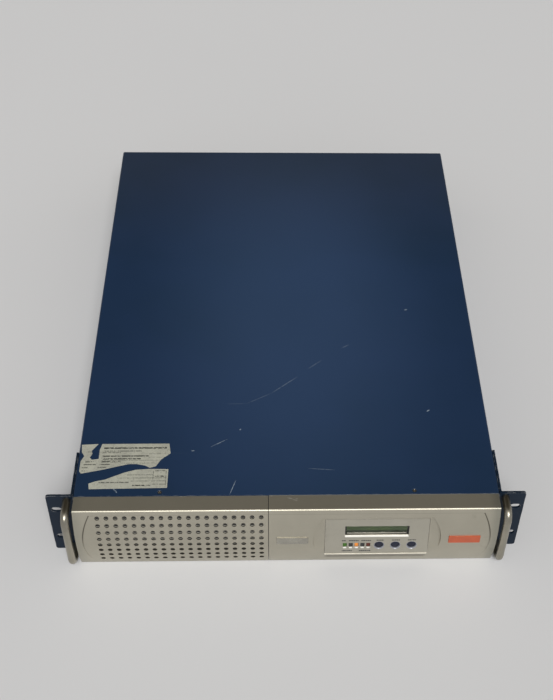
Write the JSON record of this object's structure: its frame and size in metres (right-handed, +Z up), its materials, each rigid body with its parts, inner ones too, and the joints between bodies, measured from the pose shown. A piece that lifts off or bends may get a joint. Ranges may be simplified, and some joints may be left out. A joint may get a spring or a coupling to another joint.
{
  "type": "rackmount ups",
  "caption": "Two-unit rack uninterruptible power supply with a vented front cover, display panel, side handles, battery drawer and rear sockets.",
  "frame": {"origin": "centre of the bounding box on the resting plane under the chassis", "axes": "+X to the right seen from the front, +Y from the front to the rear, +Z up"},
  "size_m": [0.4826, 0.6166, 0.0881],
  "materials": {
    "blue_paint": "satin fine-textured dark blue powder coat, light scratches",
    "ear_paint": "satin dark blue powder coat",
    "front_plastic": "warm grey-silver painted moulded plastic, worn edges",
    "handle_metal": "satin nickel plated bar",
    "screw_steel": "bright zinc plated steel",
    "zinc_sheet": "spangled zinc plated sheet",
    "black_steel": "black lacquered wire",
    "battery_case": "dark grey ABS",
    "brass": "tinned brass",
    "lead_rubber": "red and black insulated cable",
    "grey_plastic": "grey polycarbonate",
    "foam": "open cell black filter foam",
    "panel_plastic": "warm grey-silver painted plastic",
    "lcd": "grey-green reflective display",
    "lens": "clear glossy window",
    "board": "green solder resist",
    "led": "tinted light pipes",
    "button": "blue-grey soft touch cap",
    "badge": "blank orange domed sticker",
    "tag": "blank silver domed sticker",
    "paper": "torn printed film label, ruled lines only",
    "alloy": "extruded aluminium",
    "black_plastic": "black PBT",
    "capacitor": "sleeved can",
    "ferrite": "coated powder core",
    "copper": "enamelled copper wire",
    "core": "ferrite",
    "coil": "yellow tape wound coil",
    "white_plastic": "off-white nylon"
  },
  "bodies": {
    "chassis": {"chassis_base": "blue_paint", "top_cover": "blue_paint", "rear_panel": "blue_paint", "cover_screws": "screw_steel", "left_ear": "ear_paint", "right_ear": "ear_paint", "ear_screws": "screw_steel", "left_handle": "handle_metal", "right_handle": "handle_metal", "handle_screws": "screw_steel", "drawer_rails": "zinc_sheet", "bay_divider": "zinc_sheet", "battery_socket": "grey_plastic", "front_bezel": "front_plastic", "display_panel": "panel_plastic", "lcd_module": "lcd", "lcd_lens": "lens", "display_board": "board", "status_leds": "led", "badge": "badge", "model_tag": "tag", "rating_label": "paper", "main_board": "board", "board_standoffs": "brass", "heatsinks": "alloy", "power_transistors": "black_plastic", "bus_capacitors": "capacitor", "choke_cores": "ferrite", "choke_windings": "copper", "transformer_core": "core", "transformer_coil": "coil", "relays": "black_plastic", "control_board": "board", "fan_frames": "black_plastic", "fan_guards": "screw_steel", "rear_screws": "screw_steel", "power_inlet": "black_plastic", "output_sockets": "black_plastic", "circuit_breaker": "black_plastic", "serial_port": "alloy", "slot_cover": "blue_paint"},
    "battery_drawer": {"battery_tray": "zinc_sheet", "drawer_plate": "zinc_sheet", "drawer_pull": "black_steel", "drawer_screws": "screw_steel", "battery_1": "battery_case", "battery_2": "battery_case", "battery_3": "battery_case", "battery_4": "battery_case", "battery_terminals": "brass", "battery_leads": "lead_rubber", "battery_plug": "grey_plastic"},
    "vent_cover": {"front_cover": "front_plastic", "cover_filter": "foam"},
    "button_a": {"button_1": "button"},
    "button_b": {"button_2": "button"},
    "button_c": {"button_3": "button"},
    "fan_a": {"fan_rotor_1": "black_plastic"},
    "fan_b": {"fan_rotor_2": "black_plastic"},
    "breaker": {"breaker_button": "white_plastic"}
  },
  "joints": [
    {"name": "drawer_slide", "type": "slide", "parent": "chassis", "child": "battery_drawer", "axis": [0, -1, 0], "range_m": [0, 0.3]},
    {"name": "cover_pull", "type": "slide", "parent": "battery_drawer", "child": "vent_cover", "axis": [0, -1, 0], "range_m": [0, 0.06]},
    {"name": "button_a_press", "type": "slide", "parent": "chassis", "child": "button_a", "axis": [0, 0.9857, -0.1685], "range_m": [0, 0.001], "stiffness_N_per_m": 300},
    {"name": "button_b_press", "type": "slide", "parent": "chassis", "child": "button_b", "axis": [0, 0.9857, -0.1685], "range_m": [0, 0.001], "stiffness_N_per_m": 300},
    {"name": "button_c_press", "type": "slide", "parent": "chassis", "child": "button_c", "axis": [0, 0.9857, -0.1685], "range_m": [0, 0.001], "stiffness_N_per_m": 300},
    {"name": "fan_a_spin", "type": "hinge", "parent": "chassis", "child": "fan_a", "pos_m": [0.06, 0.28525, 0.0438], "axis": [0, 1, 0], "continuous": true},
    {"name": "fan_b_spin", "type": "hinge", "parent": "chassis", "child": "fan_b", "pos_m": [0.15, 0.28525, 0.0438], "axis": [0, 1, 0], "continuous": true},
    {"name": "breaker_trip", "type": "slide", "parent": "chassis", "child": "breaker", "axis": [0, 1, 0], "range_m": [0, 0.003]}
  ]
}
